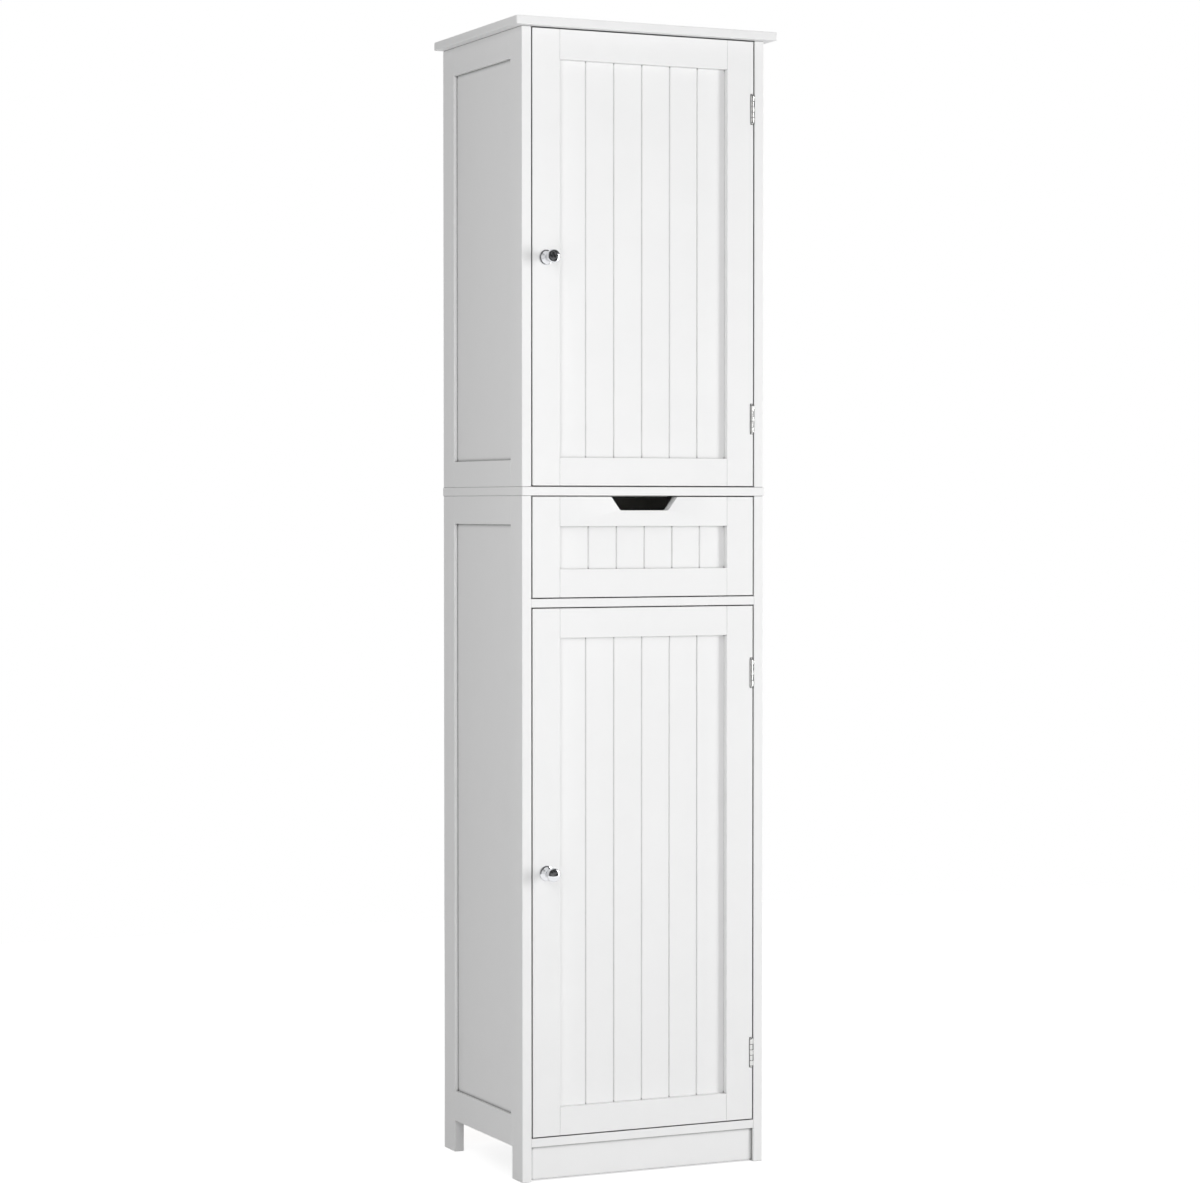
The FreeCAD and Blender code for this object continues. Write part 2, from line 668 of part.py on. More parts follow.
def hang_door(name, door_stile, frame_stile, low, high):
    """Two hinges between a door's stile and the case's stile."""
    door_leaves, door_screws = [], []
    screw_y = front + driving["hinge_screw_setback"]
    for middle in (low + driving["hinge_end_distance"], high - driving["hinge_end_distance"]):
        barrel_mortise(door_stile, middle)
        door_leaf = hinge_leaf("door_leaf", door_leaf_x, middle, door_knuckles)
        frame_leaf = hinge_leaf("frame_leaf", frame_leaf_x, middle, frame_knuckles)
        for level in (middle - screw_spacing / 2, middle + screw_spacing / 2):
            door_screws.append(countersunk_screw(
                [door_leaf_x[1], screw_y, level], "-X", door_leaf, door_stile))
            frame_screws.append(countersunk_screw(
                [frame_leaf_x[0], screw_y, level], "X", frame_leaf, frame_stile))
        door_leaves.append(door_leaf)
        frame_leaves.append(frame_leaf)
        hinge_pins.append(hinge_pin(middle))
    keep(group(f"{name}_hinge_leaves", door_leaves))
    keep(group(f"{name}_hinge_screws", door_screws))


# ---- magnetic catches on the left side, and the steel strikes that they hold ----

strike_thickness, catch_gap = named("strike_thickness", "catch_gap")
catches = []


def door_catch(name, door_middle):
    """A catch on the case and the strike plate on a door's back, above its middle."""
    level = door_middle + driving["catch_offset"]
    catch_z = (level - driving["catch_height"] / 2, level + driving["catch_height"] / 2)
    catch_x = (-inner, driving["catch_width"] - inner)
    catch_front = front_back_face + strike_thickness + catch_gap
    catches.append(board("catch", catch_x,
                         (catch_front, catch_front + driving["catch_depth"]), catch_z))
    strike_x = (side_gap - inner, side_gap - inner + driving["strike_width"])
    strike_z = (level - driving["strike_height"] / 2, level + driving["strike_height"] / 2)
    strike = Piece(f"{name}_strike_plate", [strike_x[0], front_back_face, strike_z[0]])
    strike.box("Additive", strike_x, (front_back_face, front_back_face + strike_thickness),
               strike_z)
    keep(strike)


# ---- the two doors ----

for name, low, high, frame_stile in (
        ("upper_door", upper_low + end_gap, upper_high - end_gap, upper_stiles["right"][0]),
        ("lower_door", lower_low + end_gap, divider_low - end_gap, lower_stiles["right"][0])):
    (latch_stile, hinge_stile), rail = framed_front(name, low, high)
    keep(latch_stile, hinge_stile)
    door_middle = (low + high) / 2
    knob_with_screw(name, latch_stile, door_middle)
    hang_door(name, hinge_stile, frame_stile, low, high)
    door_catch(name, door_middle)
keep(group("hinge_frame_leaves", frame_leaves))
keep(group("hinge_frame_screws", frame_screws))
keep(group("hinge_pins", hinge_pins))
keep(group("door_catches", catches))

# ---- drawer: its front with the hand notch, its box and the runners in the sides' grooves ----

drawer_stiles, drawer_rail = framed_front(
    "drawer_front", drawer_low + end_gap, middle_low - end_gap, driving["drawer_bead_offset"])
keep(group("drawer_front_stiles", drawer_stiles))

drawer_high = middle_low - end_gap
notch_top, notch_bottom, notch_depth, corner_radius = named(
    "notch_top_width", "notch_bottom_width", "notch_depth", "notch_corner_radius")
rail_left, _, rail_low = drawer_rail.origin
notch_run = (notch_top - notch_bottom) / 2
notch_slope = (notch_run * notch_run + notch_depth * notch_depth).root()
corner_reach = corner_radius * (notch_slope - notch_run) / notch_depth
notch_levels = (
    (notch_top / 2, drawer_high),
    (notch_bottom / 2 + corner_reach * notch_run / notch_slope,
     drawer_high - notch_depth + corner_reach * notch_depth / notch_slope),
    (notch_bottom / 2 - corner_reach, drawer_high - notch_depth))
notch_outline = [(-half - rail_left, level - rail_low) for half, level in notch_levels]
notch_outline += [(half - rail_left, level - rail_low) for half, level in notch_levels[::-1]]
notch = drawer_rail.feature("Pocket", "hand_notch", Length=front_thickness)
rounded = (corner_radius, 1)
notch.Profile = drawer_rail.sketch("XZ_Plane", notch_outline, {1: rounded, 3: rounded})

(drawer_side_thickness, drawer_side_height, drawer_side_gap, bottom_thickness,
 bottom_lift, bottom_tongue) = named(
    "drawer_side_thickness", "drawer_side_height", "drawer_side_gap",
    "drawer_bottom_thickness", "drawer_bottom_lift", "drawer_bottom_tongue")
runner_height, runner_reach, runner_lift, runner_play = named(
    "runner_height", "runner_reach", "runner_lift", "runner_play")
box_low = drawer_low + driving["drawer_floor_gap"]
box_outer = inner - drawer_side_gap
box_inner = box_outer - drawer_side_thickness
box_y = (front_back_face, inner_back - driving["drawer_rear_gap"])
bottom_z = (box_low + bottom_lift, box_low + bottom_lift + bottom_thickness)
runner_z = (drawer_low + runner_lift, drawer_low + runner_lift + runner_height)
runner_tip = inner - runner_reach
drawer_sides, runners = [], []
for side in SIDES.values():
    panel_side = board("drawer_side", mirrored(side, box_inner, box_outer), box_y,
                       (box_low, box_low + drawer_side_height))
    panel_side.box("Subtractive", mirrored(side, runner_tip - runner_play, box_outer), box_y,
                   (runner_z[0] - runner_play, runner_z[1] + runner_play))
    panel_side.box("Subtractive", mirrored(side, box_inner, box_inner + bottom_tongue), box_y,
                   groove_range(*bottom_z))
    drawer_sides.append(panel_side)
    runner_y = (front_back_face + driving["stop_gap"], inner_back - driving["runner_end_gap"])
    runners.append(board("runner", mirrored(side, runner_tip, inner), runner_y, runner_z))
keep(group("drawer_sides", drawer_sides))
keep(group("drawer_runners", runners))

bottom_half = box_inner + bottom_tongue - panel_play
drawer_bottom = Piece("drawer_bottom", [-bottom_half, box_y[0], bottom_z[0]])
drawer_bottom.box("Additive", (-bottom_half, bottom_half), box_y, bottom_z)
back_low = bottom_z[1]
drawer_back = board("drawer_back", (-box_inner, box_inner),
                    (box_y[1] - drawer_side_thickness, box_y[1]),
                    (back_low, back_low + driving["drawer_back_height"]))
keep(drawer_bottom, drawer_back)

# ---- build, check and write ----

doc.recompute()
failed = [thing.Name for thing in doc.Objects
          if {"Invalid", "Error"} & set(thing.State)]
if failed:
    raise SystemExit(f"features that failed: {failed}")
for node in nodes:
    shape = node.Shape
    if shape.isNull() or not shape.isValid():
        raise SystemExit(f"{node.Label} has no valid shape")
os.makedirs("parts", exist_ok=True)
for node in nodes:
    node.Shape.exportStep(f"parts/{node.Label}.step")
print(f"{len(nodes)} sub-parts written")
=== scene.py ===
# Tall bathroom cabinet: finishes, small fittings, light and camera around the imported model
import math

import bmesh
import bpy
from mathutils import Matrix, Vector


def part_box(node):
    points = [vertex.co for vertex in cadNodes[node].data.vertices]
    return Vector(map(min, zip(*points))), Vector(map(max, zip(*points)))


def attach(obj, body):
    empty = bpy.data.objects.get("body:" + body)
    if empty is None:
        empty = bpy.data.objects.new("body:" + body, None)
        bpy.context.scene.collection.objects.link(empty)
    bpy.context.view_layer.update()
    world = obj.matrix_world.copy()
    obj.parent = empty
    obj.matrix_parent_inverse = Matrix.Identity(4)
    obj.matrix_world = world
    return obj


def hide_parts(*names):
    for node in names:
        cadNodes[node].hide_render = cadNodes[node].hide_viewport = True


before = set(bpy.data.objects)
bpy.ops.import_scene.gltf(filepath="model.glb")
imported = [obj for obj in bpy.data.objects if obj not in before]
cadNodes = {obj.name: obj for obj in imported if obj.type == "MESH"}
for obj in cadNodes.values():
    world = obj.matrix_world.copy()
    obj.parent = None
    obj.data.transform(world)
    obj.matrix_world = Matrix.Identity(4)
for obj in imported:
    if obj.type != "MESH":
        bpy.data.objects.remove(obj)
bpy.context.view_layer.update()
scene = bpy.context.scene
mm = 0.001
print("cabinet loaded:", len(cadNodes), "pieces")


# sRGB hex to the linear colour that a shader takes
def linear(hexCode):
    parts = [int(hexCode[i:i + 2], 16) / 255 for i in (1, 3, 5)]
    return [c / 12.92 if c <= 0.04045 else ((c + 0.055) / 1.055) ** 2.4 for c in parts] + [1.0]


# adds one node with its settings, its input values and its incoming links
def addNode(tree, kind, values=None, links=None, **settings):
    made = tree.nodes.new(kind)
    for name, value in settings.items():
        setattr(made, name, value)
    for name, value in (values or {}).items():
        made.inputs[name].default_value = value
    for name, source in (links or {}).items():
        tree.links.new(source, made.inputs[name])
    return made


# an empty material: its node tree, its shader and a coordinate node
def newMaterial(name):
    material = bpy.data.materials.new(name)
    material.use_nodes = True
    tree = material.node_tree
    tree.nodes.clear()
    shader = addNode(tree, "ShaderNodeBsdfPrincipled")
    addNode(tree, "ShaderNodeOutputMaterial", links={"Surface": shader.outputs[0]})
    coords = addNode(tree, "ShaderNodeTexCoord")
    return material, tree, shader, coords


# where a surface bends away within a distance: its softened normal, and a mask from 0 on flats to 1 on edges
def edgeMask(tree, distanceMm, bendRange):
    rounded = addNode(tree, "ShaderNodeBevel", {"Radius": distanceMm * mm}, samples=6)
    flat = addNode(tree, "ShaderNodeNewGeometry")
    along = addNode(tree, "ShaderNodeVectorMath",
                    links={0: rounded.outputs[0], 1: flat.outputs["Normal"]}, operation="DOT_PRODUCT")
    bend = addNode(tree, "ShaderNodeMath", {0: 1.0}, {1: along.outputs["Value"]}, operation="SUBTRACT")
    mask = addNode(tree, "ShaderNodeMapRange", {"From Min": bendRange[0], "From Max": bendRange[1]},
                   {"Value": bend.outputs[0]})
    return rounded.outputs[0], mask.outputs[0]


# satin white lacquer sprayed on fibreboard: an even white with faint clouds and fine orange peel; edges get
# a paler line of painted highlight, and joints and inner corners a thin grey line of painted shade. The side
# panels, let into an open groove, and the plinth board get a wider, darker painted shade along their border.
lacquer = {
    # edge is the painted highlight's colour, and the grey is the painted shade's colour
    "pale": "#F1F1F1", "deep": "#EDEDED", "edge": "#F9F9F9", "creaseShade": "#4A4A4A",
    "cloudMm": 70, "roughness": (0.36, 0.46), "ior": 1.48,
    "peelMm": 2.6, "peelDepthMm": 0.012,  # real peel is about 1 mm across; drawn wider so that it shows
    # width of the painted highlight along edges, and the bend over which it comes in
    "edgeMm": 0.9, "edgeBend": (0.03, 0.3),  # 1 minus the bend's cosine, from flat to full edge
    # painted shade in joints and corners, grey where little open view reaches: tight on most pieces, wider at
    # the seams
    "tightCreaseShade": {"mm": 3.6, "open": (0.1, 0.68)},  # reach, and the share of open view from grey to white
    "wideSeamShade": {"mm": 6.0, "open": (0.3, 1.0)},
}


def sprayedLacquer(name, creaseShade):
    material, tree, shader, coords = newMaterial(name)
    place = coords.outputs["Object"]
    clouds = addNode(tree, "ShaderNodeTexNoise",
                     {"Scale": 1 / (lacquer["cloudMm"] * mm), "Detail": 3.0, "Roughness": 0.6},
                     {"Vector": place})
    tone = addNode(tree, "ShaderNodeMix", {6: linear(lacquer["deep"]), 7: linear(lacquer["pale"])},
                   {0: clouds.outputs["Fac"]}, data_type="RGBA")
    # paler painted highlight along edges, and a softened normal that rounds them
    softened, paintedHighlight = edgeMask(tree, lacquer["edgeMm"], lacquer["edgeBend"])
    # painted shade: the less open view around a point, the nearer its colour goes to the grey
    near = addNode(tree, "ShaderNodeAmbientOcclusion", {"Distance": creaseShade["mm"] * mm}, samples=12)
    openness = addNode(tree, "ShaderNodeMapRange",
                       {"From Min": creaseShade["open"][0], "From Max": creaseShade["open"][1]},
                       {"Value": near.outputs["AO"]}, interpolation_type="SMOOTHSTEP")
    highlighted = addNode(tree, "ShaderNodeMix", {7: linear(lacquer["edge"])}, {0: paintedHighlight, 6: tone.outputs[2]},
                    data_type="RGBA")
    creaseShaded = addNode(tree, "ShaderNodeMix", {6: linear(lacquer["creaseShade"])},
                      {0: openness.outputs[0], 7: highlighted.outputs[2]}, data_type="RGBA")
    gloss = addNode(tree, "ShaderNodeMapRange",
                    {"To Min": lacquer["roughness"][0], "To Max": lacquer["roughness"][1]},
                    {"Value": clouds.outputs["Fac"]})
    peel = addNode(tree, "ShaderNodeTexNoise", {"Scale": 1 / (lacquer["peelMm"] * mm), "Detail": 2.0},
                   {"Vector": place})
    bump = addNode(tree, "ShaderNodeBump", {"Strength": 1.0, "Distance": lacquer["peelDepthMm"] * mm},
                   {"Height": peel.outputs["Fac"], "Normal": softened})
    tree.links.new(creaseShaded.outputs[2], shader.inputs["Base Color"])
    tree.links.new(gloss.outputs[0], shader.inputs["Roughness"])
    tree.links.new(bump.outputs[0], shader.inputs["Normal"])
    shader.inputs["IOR"].default_value = lacquer["ior"]
    return material


# melamine foil pressed on chipboard for the drawer box: an even white with a faint pressed grain
foil = {"pale": "#EDEDEA", "deep": "#E6E6E2", "roughness": 0.38,
        "acrossMm": 2.0, "alongMm": 60.0, "grainBump": 0.6, "grainDepthMm": 0.03}


def melamineFoil():
    material, tree, shader, coords = newMaterial("pressedMelamineFoil")
    across, along = 1 / (foil["acrossMm"] * mm), 1 / (foil["alongMm"] * mm)
    stretch = addNode(tree, "ShaderNodeMapping", {"Scale": (across, along, across)},
                      {"Vector": coords.outputs["Object"]})
    grain = addNode(tree, "ShaderNodeTexNoise", {"Scale": 1.0, "Detail": 4.0, "Distortion": 0.4},
                    {"Vector": stretch.outputs[0]})
    tone = addNode(tree, "ShaderNodeMix", {6: linear(foil["deep"]), 7: linear(foil["pale"])},
                   {0: grain.outputs["Fac"]}, data_type="RGBA")
    bump = addNode(tree, "ShaderNodeBump",
                   {"Strength": foil["grainBump"], "Distance": foil["grainDepthMm"] * mm},
                   {"Height": grain.outputs["Fac"]})
    tree.links.new(tone.outputs[2], shader.inputs["Base Color"])
    tree.links.new(bump.outputs[0], shader.inputs["Normal"])
    shader.inputs["Roughness"].default_value = foil["roughness"]
    return material


# wet-pressed hardboard: painted white on the smooth face, bare brown fibres on the other
hardboard = {"white": "#ECECE9", "fibre": "#8D6B47", "fibreDark": "#6E5034", "whiteRoughness": 0.4,
             "bareRoughness": 0.75, "fineMm": 1.6, "coarseMm": 9.0, "contrast": (0.12, 0.42),
             "fibreBump": 0.7, "fibreDepthMm": 0.08}


def pressedHardboard(name, bareSide):
    material, tree, shader, coords = newMaterial(name)
    place = coords.outputs["Object"]
    fibres = addNode(tree, "ShaderNodeTexNoise",
                     {"Scale": 1 / (hardboard["fineMm"] * mm), "Detail": 6.0, "Roughness": 0.7,
                      "Distortion": 1.2}, {"Vector": place})
    patches = addNode(tree, "ShaderNodeTexNoise",
                      {"Scale": 1 / (hardboard["coarseMm"] * mm), "Detail": 4.0}, {"Vector": place})
    blend = addNode(tree, "ShaderNodeMath", links={0: fibres.outputs["Fac"], 1: patches.outputs["Fac"]},
                    operation="MULTIPLY")
    ramp = addNode(tree, "ShaderNodeMapRange",
                   {"From Min": hardboard["contrast"][0], "From Max": hardboard["contrast"][1]},
                   {"Value": blend.outputs[0]})
    brown = addNode(tree, "ShaderNodeMix",
                    {6: linear(hardboard["fibreDark"]), 7: linear(hardboard["fibre"])},
                    {0: ramp.outputs[0]}, data_type="RGBA")
    # 1 on the bare side and 0 on the painted one
    facing = addNode(tree, "ShaderNodeVectorMath", {1: bareSide}, {0: coords.outputs["Normal"]},
                     operation="DOT_PRODUCT")
    bare = addNode(tree, "ShaderNodeMath", {1: 0.5}, {0: facing.outputs["Value"]}, operation="GREATER_THAN")
    tone = addNode(tree, "ShaderNodeMix", {6: linear(hardboard["white"])},
                   {0: bare.outputs[0], 7: brown.outputs[2]}, data_type="RGBA")
    rough = addNode(tree, "ShaderNodeMapRange",
                    {"To Min": hardboard["whiteRoughness"], "To Max": hardboard["bareRoughness"]},
                    {"Value": bare.outputs[0]})
    bump = addNode(tree, "ShaderNodeBump",
                   {"Strength": hardboard["fibreBump"], "Distance": hardboard["fibreDepthMm"] * mm},
                   {"Height": fibres.outputs["Fac"]})
    tree.links.new(tone.outputs[2], shader.inputs["Base Color"])
    tree.links.new(rough.outputs[0], shader.inputs["Roughness"])
    tree.links.new(bump.outputs[0], shader.inputs["Normal"])
    return material


# plain grained solids. Beech dowels are turned: warm tan with short dark flecks. The catches have moulded
# plastic, a smooth off-white, and sintered magnet, a dull dark grey, both with a fine grain.
grains = {
    "turnedBeech": {"pale": "#DDBB8E", "deep": "#B98C5C", "roughness": 0.62, "grainMm": 0.9,
                    "detail": 5.0, "distortion": 0.8, "depthMm": 0.05},
    "mouldedWhitePlastic": {"pale": "#E9E9E4", "deep": "#E0E0DA", "roughness": 0.5, "grainMm": 0.8,
                            "detail": 3.0, "distortion": 0.0, "depthMm": 0.02},
    "sinteredFerrite": {"pale": "#4A4A4C", "deep": "#2E2E30", "roughness": 0.7, "grainMm": 0.5,
                        "detail": 3.0, "distortion": 0.0, "depthMm": 0.02},
}


def grainedSolid(name):
    look = grains[name]
    material, tree, shader, coords = newMaterial(name)
    grain = addNode(tree, "ShaderNodeTexNoise",
                    {"Scale": 1 / (look["grainMm"] * mm), "Detail": look["detail"],
                     "Distortion": look["distortion"]}, {"Vector": coords.outputs["Object"]})
    tone = addNode(tree, "ShaderNodeMix", {6: linear(look["deep"]), 7: linear(look["pale"])},
                   {0: grain.outputs["Fac"]}, data_type="RGBA")
    bump = addNode(tree, "ShaderNodeBump", {"Strength": 0.5, "Distance": look["depthMm"] * mm},
                   {"Height": grain.outputs["Fac"]})
    tree.links.new(tone.outputs[2], shader.inputs["Base Color"])
    tree.links.new(bump.outputs[0], shader.inputs["Normal"])
    shader.inputs["Roughness"].default_value = look["roughness"]
    return material


# plated metals: mirror-bright chrome for the knobs, softer bright nickel for the hinges and dull grey zinc
# for screws, pins and plates. Each has the plating's colour and a darker one painted along its edges as
# shade, a dark outline that is nearly black on the nickel, its roughness range and how wide, long and deep
# its polishing marks are.
platings = {
    # edge: the darker tone painted along each plating's edges as shade
    "polishedChromePlate": {"colour": "#D6D7DA", "edge": "#A9AAAE", "edgeMm": 0.2,
                            "roughness": (0.03, 0.08), "marksMm": (3.0, 3.0), "markDepthMm": 0.0015},
    "brightNickelPlate": {"colour": "#CDCDCC", "edge": "#2E2E2E", "edgeMm": 0.9,
                          "roughness": (0.08, 0.16), "marksMm": (0.6, 8.0), "markDepthMm": 0.006},
    "clearZincPlate": {"colour": "#BDC0C4", "edge": "#85898E", "edgeMm": 0.3,
                       "roughness": (0.26, 0.42), "marksMm": (0.8, 1.6), "markDepthMm": 0.008},
}
platingBend = (0.02, 0.2)  # as the lacquer's edgeBend


def platedMetal(name):
    look = platings[name]
    material, tree, shader, coords = newMaterial(name)
    across, along = [1 / (length * mm) for length in look["marksMm"]]
    stretch = addNode(tree, "ShaderNodeMapping", {"Scale": (across, across, along)},
                      {"Vector": coords.outputs["Object"]})
    marks = addNode(tree, "ShaderNodeTexNoise", {"Scale": 1.0, "Detail": 3.0},
                    {"Vector": stretch.outputs[0]})
    gloss = addNode(tree, "ShaderNodeMapRange",
                    {"To Min": look["roughness"][0], "To Max": look["roughness"][1]},
                    {"Value": marks.outputs["Fac"]})
    # a darker tone painted along the edges as shade, a dark outline, and a softened normal
    softened, paintedEdgeShade = edgeMask(tree, look["edgeMm"], platingBend)
    tone = addNode(tree, "ShaderNodeMix", {6: linear(look["colour"]), 7: linear(look["edge"])},
                   {0: paintedEdgeShade}, data_type="RGBA")
    bump = addNode(tree, "ShaderNodeBump", {"Strength": 0.5, "Distance": look["markDepthMm"] * mm},
                   {"Height": marks.outputs["Fac"], "Normal": softened})
    tree.links.new(tone.outputs[2], shader.inputs["Base Color"])
    tree.links.new(gloss.outputs[0], shader.inputs["Roughness"])
    tree.links.new(bump.outputs[0], shader.inputs["Normal"])
    shader.inputs["Metallic"].default_value = 1.0
    return material


# the second lacquer paints a wider, darker shade into the seams of the side panels and the plinth board
whiteLacquer = sprayedLacquer("sprayedWhiteLacquer", lacquer["tightCreaseShade"])
seamShadedLacquer = sprayedLacquer("sprayedWhiteLacquerSeamShaded", lacquer["wideSeamShade"])
drawerFoil = melamineFoil()
backBoard = pressedHardboard("hardboardBareBehind", (0, 1, 0))
floorBoard = pressedHardboard("hardboardBareBelow", (0, 0, -1))
dowelBeech, catchPlastic, ferrite = [grainedSolid(name) for name in grains]
chrome, nickel, zinc = [platedMetal(name) for name in platings]

for name, cadNode in cadNodes.items():
    if name.endswith("back_panel"):
        finish = backBoard
    elif name == "drawer_bottom":
        finish = floorBoard
    elif name in ("drawer_sides", "drawer_back", "drawer_runners"):
        finish = drawerFoil
    elif name == "assembly_dowels":
        finish = dowelBeech
    elif name == "shelf_pins" or name.endswith("strike_plate"):
        finish = zinc
    elif "hinge" in name:
        finish = nickel
    elif name == "plinth_board" or name.endswith("side_panel"):
        finish = seamShadedLacquer
    else:
        finish = whiteLacquer
    cadNode.data.materials.clear()
    cadNode.data.materials.append(finish)
print("finishes done")


# turns a bmesh into a piece of the cabinet; edges sharper than sharpAngle stay crisp
def makePiece(shape, name, finish, body, standsFor=(), sharpAngle=35):
    bmesh.ops.recalc_face_normals(shape, faces=shape.faces)
    for face in shape.faces:
        face.smooth = True
    for edge in shape.edges:
        edge.smooth = len(edge.link_faces) == 2 and edge.calc_face_angle() < math.radians(sharpAngle)
    mesh = bpy.data.meshes.new(name)
    shape.to_mesh(mesh)
    shape.free()
    piece = bpy.data.objects.new(name, mesh)
    scene.collection.objects.link(piece)
    mesh.materials.append(finish)
    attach(piece, body)
    if standsFor:
        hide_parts(*standsFor)
    return piece


# a closed box between two corners in mm, with its edges rounded
def roundedBox(shape, low, high, roundMm, segments=3):
    made = bmesh.ops.create_cube(shape, size=1.0)["verts"]
    size = [(b - a) * mm for a, b in zip(low, high)]
    middle = [(a + b) / 2 * mm for a, b in zip(low, high)]
    bmesh.ops.scale(shape, vec=size, verts=made)
    bmesh.ops.translate(shape, vec=middle, verts=made)
    edges = list(dict.fromkeys(edge for vert in made for edge in vert.link_edges))  # each edge once, in order
    bmesh.ops.bevel(shape, geom=edges, offset=roundMm * mm, segments=segments, profile=0.5,
                    affect="EDGES", material=-1)


# door levels and door faces in mm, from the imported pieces
doorLevels = {}
for door in ("upper_door", "lower_door"):
    low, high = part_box(f"{door}_left_stile")
    doorLevels[door] = (low.z / mm, high.z / mm)
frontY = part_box("upper_door_left_stile")[0].y / mm
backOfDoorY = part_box("upper_door_left_stile")[1].y / mm


# knobs: a flat-rimmed flange that rises in a cone, a slim flared neck and a banded head with a nearly
# flat face. The profile is radius and distance from the door.
knob = {"axisX": -149.5, "steps": 72, "mergeMm": 0.01, "screwTurn": 0.6, "profileMm": [
    (0.0, 0.0), (10.1, 0.0), (10.4, 0.15), (10.5, 0.5), (10.42, 1.2), (10.2, 1.5), (9.7, 1.66), (9.0, 1.82),
    (8.6, 2.0), (8.2, 2.35), (7.4, 3.0), (6.6, 3.75), (5.8, 4.4), (5.2, 5.1), (4.75, 6.0), (4.4, 7.2),
    (4.25, 8.8), (4.2, 10.6), (4.45, 13.2), (5.2, 16.0), (6.4, 18.4), (7.8, 20.1), (8.9, 21.0), (9.35, 21.5),
    (9.5, 22.2), (9.5, 25.4), (9.42, 26.1), (9.1, 26.7), (8.5, 27.1), (7.6, 27.4), (6.4, 27.62),
    (4.8, 27.82), (3.0, 27.94), (1.4, 27.99), (0.0, 28.0)]}
for door, (low, high) in doorLevels.items():
    shape = bmesh.new()
    line = [shape.verts.new((radius * mm, -depth * mm, 0)) for radius, depth in knob["profileMm"]]
    edges = [shape.edges.new(pair) for pair in zip(line, line[1:])]
    bmesh.ops.spin(shape, geom=line + edges, cent=(0, 0, 0), axis=(0, 1, 0), dvec=(0, 0, 0),
                   angle=math.tau, steps=knob["steps"], use_merge=True)
    bmesh.ops.remove_doubles(shape, verts=shape.verts, dist=knob["mergeMm"] * mm)
    centre = (knob["axisX"] * mm, frontY * mm, (low + high) / 2 * mm)
    bmesh.ops.translate(shape, vec=centre, verts=shape.verts)
    makePiece(shape, f"{door}_turned_knob", chrome, door, [f"{door}_knob"])
print("knobs done")


# cross-head screws: the head's face looks along -Z at z 0 and the shank runs along +Z
screwKinds = {
    "countersunk": {"headMm": 2.4, "neckMm": 1.3, "headHeightMm": 1.4, "lengthMm": 11.0,
                    "crossMm": (0.7, 2.9), "crossDepthMm": 0.9},
    "pan": {"headMm": 4.0, "neckMm": 2.0, "headHeightMm": 2.4, "lengthMm": 23.6,
            "crossMm": (1.0, 4.2), "crossDepthMm": 1.3},
    "small": {"headMm": 2.2, "neckMm": 1.2, "headHeightMm": 1.2, "lengthMm": 7.0,
              "crossMm": (0.6, 2.6), "crossDepthMm": 0.7},
}
# the pan head is rounded by a share of its height, and the shank's tip is a share of its neck
screwForm = {"headSegments": 40, "shankSegments": 24, "panRoundShare": 0.45, "panRoundSegments": 5,
             "tipShare": 0.35, "shankOverlapMm": 0.05}


def screwMesh(kind):
    look = screwKinds[kind]
    shape = bmesh.new()
    headRadius, neck = look["headMm"] * mm, look["neckMm"] * mm
    headHeight = look["headHeightMm"] * mm
    segments = screwForm["headSegments"]
    if kind == "pan":
        head = bmesh.ops.create_cone(shape, cap_ends=True, segments=segments, radius1=headRadius,
                                     radius2=headRadius, depth=headHeight)["verts"]
        bmesh.ops.translate(shape, vec=(0, 0, -headHeight / 2), verts=head)
        rim = [edge for edge in shape.edges if all(vert.co.z < -headHeight / 2 for vert in edge.verts)]
        bmesh.ops.bevel(shape, geom=rim, offset=headHeight * screwForm["panRoundShare"],
                        segments=screwForm["panRoundSegments"], profile=0.5, affect="EDGES", material=-1)
        start, faceZ = 0.0, -headHeight
    else:
        head = bmesh.ops.create_cone(shape, cap_ends=True, segments=segments, radius1=headRadius,
                                     radius2=neck, depth=headHeight)["verts"]
        bmesh.ops.translate(shape, vec=(0, 0, headHeight / 2), verts=head)
        start, faceZ = headHeight, 0.0
    length = look["lengthMm"] * mm - start
    shank = bmesh.ops.create_cone(shape, cap_ends=True, segments=screwForm["shankSegments"], radius1=neck,
                                  radius2=neck * screwForm["tipShare"], depth=length)["verts"]
    shankMiddle = start + length / 2 - screwForm["shankOverlapMm"] * mm
    bmesh.ops.translate(shape, vec=(0, 0, shankMiddle), verts=shank)
    body = bpy.data.meshes.new("screw")
    shape.to_mesh(body)
    shape.free()
    cutter = bmesh.new()
    narrow, wide = look["crossMm"]
    depth = look["crossDepthMm"]
    for sizeX, sizeY in ((narrow, wide), (wide, narrow)):
        bar = bmesh.ops.create_cube(cutter, size=1.0)["verts"]
        bmesh.ops.scale(cutter, vec=(sizeX * mm, sizeY * mm, depth * 2 * mm), verts=bar)
        bmesh.ops.translate(cutter, vec=(0, 0, faceZ), verts=bar)
    bars = bpy.data.meshes.new("cross")
    cutter.to_mesh(bars)
    cutter.free()
    screw, cross = bpy.data.objects.new("screw", body), bpy.data.objects.new("cross", bars)
    scene.collection.objects.link(screw)
    scene.collection.objects.link(cross)
    cut = screw.modifiers.new("recess", "BOOLEAN")
    cut.object = cross
    cut.operation = "DIFFERENCE"
    cut.solver = "EXACT"
    cut.use_self = True
    mesh = bpy.data.meshes.new_from_object(screw.evaluated_get(bpy.context.evaluated_depsgraph_get()))
    for spare in (screw, cross):
        bpy.data.objects.remove(spare)
    return mesh


screwMeshes = {kind: screwMesh(kind) for kind in screwKinds}


